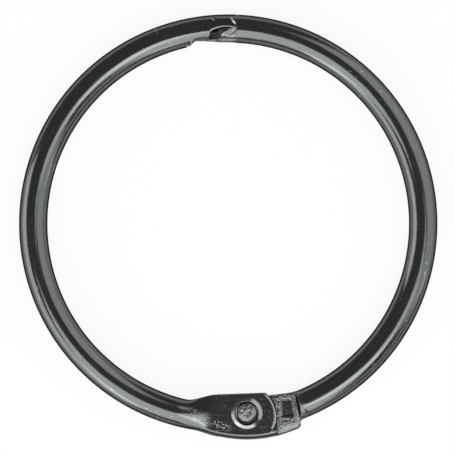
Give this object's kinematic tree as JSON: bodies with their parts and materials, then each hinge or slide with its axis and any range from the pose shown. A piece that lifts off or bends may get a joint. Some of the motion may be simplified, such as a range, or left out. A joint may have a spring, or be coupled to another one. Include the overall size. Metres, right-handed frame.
{
  "type": "hinged snap ring",
  "caption": "Ring of rolled sheet-steel tube in two halves that hinge on a rivet and snap together, for hanging a curtain from a rod.",
  "frame": {"origin": "centre of the ring's inside circle, on the middle plane of the tube", "axes": "+Z along the axis of the rod that the closed ring hangs on, square to the ring's plane, which is also the rivet's direction; +Y from the hinge to the snap joint; +X towards the half that swings"},
  "size_m": [0.0588, 0.0597, 0.004],
  "materials": {
    "plated_steel": "dark nickel plating, glossy, with fine scratches along the tube",
    "rivet_steel": "worn plating, peened and rough"
  },
  "bodies": {
    "fixed_half": {"socket_half": "plated_steel", "hinge_rivet": "rivet_steel"},
    "swinging_half": {"tongue_half": "plated_steel"}
  },
  "joints": [
    {"name": "ring_hinge", "type": "hinge", "parent": "fixed_half", "child": "swinging_half", "pos_m": [0.00261, -0.02657, 0], "axis": [0, 0, -1], "range_deg": [0, 100]}
  ]
}
